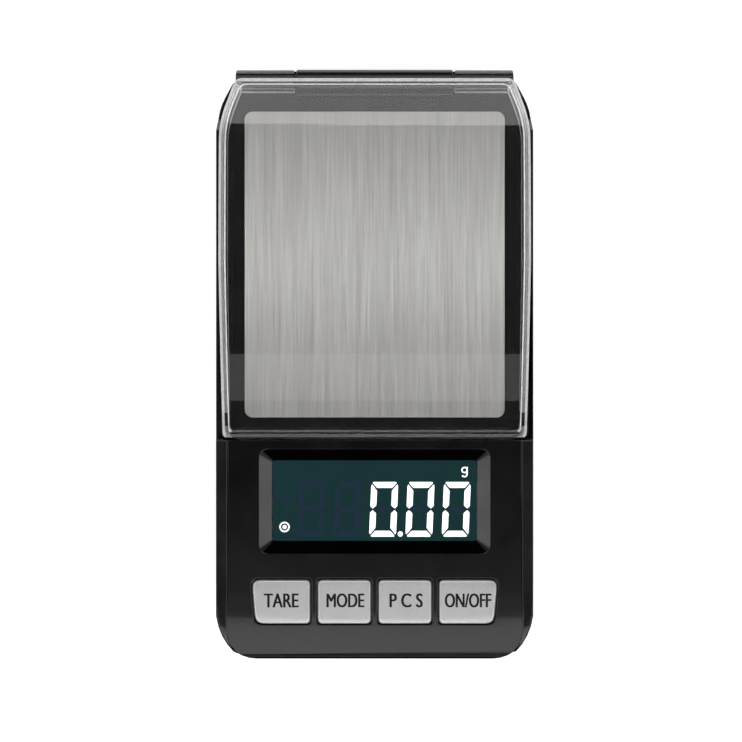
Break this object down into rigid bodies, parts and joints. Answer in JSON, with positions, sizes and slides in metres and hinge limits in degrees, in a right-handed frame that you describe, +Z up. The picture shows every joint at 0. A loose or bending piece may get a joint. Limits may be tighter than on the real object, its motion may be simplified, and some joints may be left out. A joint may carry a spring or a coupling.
{
  "type": "gram scale",
  "caption": "Pocket gram scale: black case, brushed steel weighing plate under a hinged clear crowned lid, backlit display in a bevelled recess and a row of silver keys.",
  "frame": {"origin": "middle of the scale in plan, on the surface that the feet stand on", "axes": "+Z up, +Y towards the lid's hinge, +X to the right for a person reading the display"},
  "size_m": [0.07, 0.1307, 0.0254],
  "materials": {
    "case_black": "satin",
    "lid_clear": "gloss",
    "pin_black": "satin",
    "platform_steel": "satin",
    "key_silver": "satin",
    "key_tip": "satin",
    "foot_rubber": "matte",
    "beam_aluminium": "satin",
    "screw_steel": "satin",
    "gauge_sealant": "matte",
    "wire_red": "satin",
    "wire_black": "satin",
    "wire_white": "satin",
    "wire_green": "satin",
    "board_green": "satin",
    "chip_black": "matte",
    "zebra_rubber": "matte",
    "backlight_white": "satin",
    "lcd_teal": "gloss",
    "window_clear": "gloss",
    "cell_wrap": "satin",
    "contact_nickel": "satin"
  },
  "bodies": {
    "case": {"bottom_case": "case_black", "top_case": "case_black", "rubber_foot_front_left": "foot_rubber", "rubber_foot_front_right": "foot_rubber", "rubber_foot_rear_left": "foot_rubber", "rubber_foot_rear_right": "foot_rubber", "case_screw_front_left": "screw_steel", "case_screw_front_right": "screw_steel", "case_screw_rear_left": "screw_steel", "case_screw_rear_right": "screw_steel", "hinge_pin_left": "pin_black", "hinge_pin_right": "pin_black", "load_cell_beam": "beam_aluminium", "strain_gauge_top": "gauge_sealant", "strain_gauge_bottom": "gauge_sealant", "load_cell_screw_fixed_1": "screw_steel", "load_cell_screw_fixed_2": "screw_steel", "load_cell_wire_1": "wire_red", "load_cell_wire_2": "wire_black", "load_cell_wire_3": "wire_white", "load_cell_wire_4": "wire_green", "main_pcb": "board_green", "controller_chip": "chip_black", "adc_chip": "chip_black", "crystal": "screw_steel", "filter_capacitor": "chip_black", "zebra_strip": "zebra_rubber", "backlight_panel": "backlight_white", "lcd_holder": "case_black", "lcd_glass": "lcd_teal", "display_window": "window_clear", "pcb_screw_left": "screw_steel", "pcb_screw_right": "screw_steel", "switch_body_tare": "chip_black", "switch_body_mode": "chip_black", "switch_body_pieces": "chip_black", "switch_body_power": "chip_black", "battery_front": "cell_wrap", "battery_rear": "cell_wrap", "battery_spring_front": "contact_nickel", "battery_spring_rear": "contact_nickel", "series_contact": "contact_nickel", "positive_contact": "contact_nickel", "negative_contact": "contact_nickel", "battery_wire_red": "wire_red", "battery_wire_black": "wire_black"},
    "lid": {"lid": "lid_clear"},
    "platform": {"platform_plate": "platform_steel", "platform_tray": "case_black", "load_cell_screw_free_1": "screw_steel", "load_cell_screw_free_2": "screw_steel"},
    "door": {"battery_door": "case_black"},
    "tare_key": {"key_tare": "key_silver", "switch_plunger_tare": "key_tip"},
    "mode_key": {"key_mode": "key_silver", "switch_plunger_mode": "key_tip"},
    "pieces_key": {"key_pieces": "key_silver", "switch_plunger_pieces": "key_tip"},
    "power_key": {"key_power": "key_silver", "switch_plunger_power": "key_tip"}
  },
  "joints": [
    {"name": "lid_hinge", "type": "hinge", "parent": "case", "child": "lid", "pos_m": [0, 0.0626, 0.0162], "axis": [-1, 0, 0], "range_deg": [0, 105]},
    {"name": "platform_sink", "type": "slide", "parent": "case", "child": "platform", "axis": [0, 0, -1], "range_m": [0, 0.0004], "stiffness_N_per_m": 6000, "deforming": ["load_cell_beam"]},
    {"name": "door_slide", "type": "slide", "parent": "case", "child": "door", "axis": [0, -1, 0], "range_m": [0, 0.027]},
    {"name": "tare_press", "type": "slide", "parent": "case", "child": "tare_key", "axis": [0, 0, -1], "range_m": [0, 0.0004], "stiffness_N_per_m": 150},
    {"name": "mode_press", "type": "slide", "parent": "case", "child": "mode_key", "axis": [0, 0, -1], "range_m": [0, 0.0004], "stiffness_N_per_m": 150},
    {"name": "pieces_press", "type": "slide", "parent": "case", "child": "pieces_key", "axis": [0, 0, -1], "range_m": [0, 0.0004], "stiffness_N_per_m": 150},
    {"name": "power_press", "type": "slide", "parent": "case", "child": "power_key", "axis": [0, 0, -1], "range_m": [0, 0.0004], "stiffness_N_per_m": 150}
  ]
}
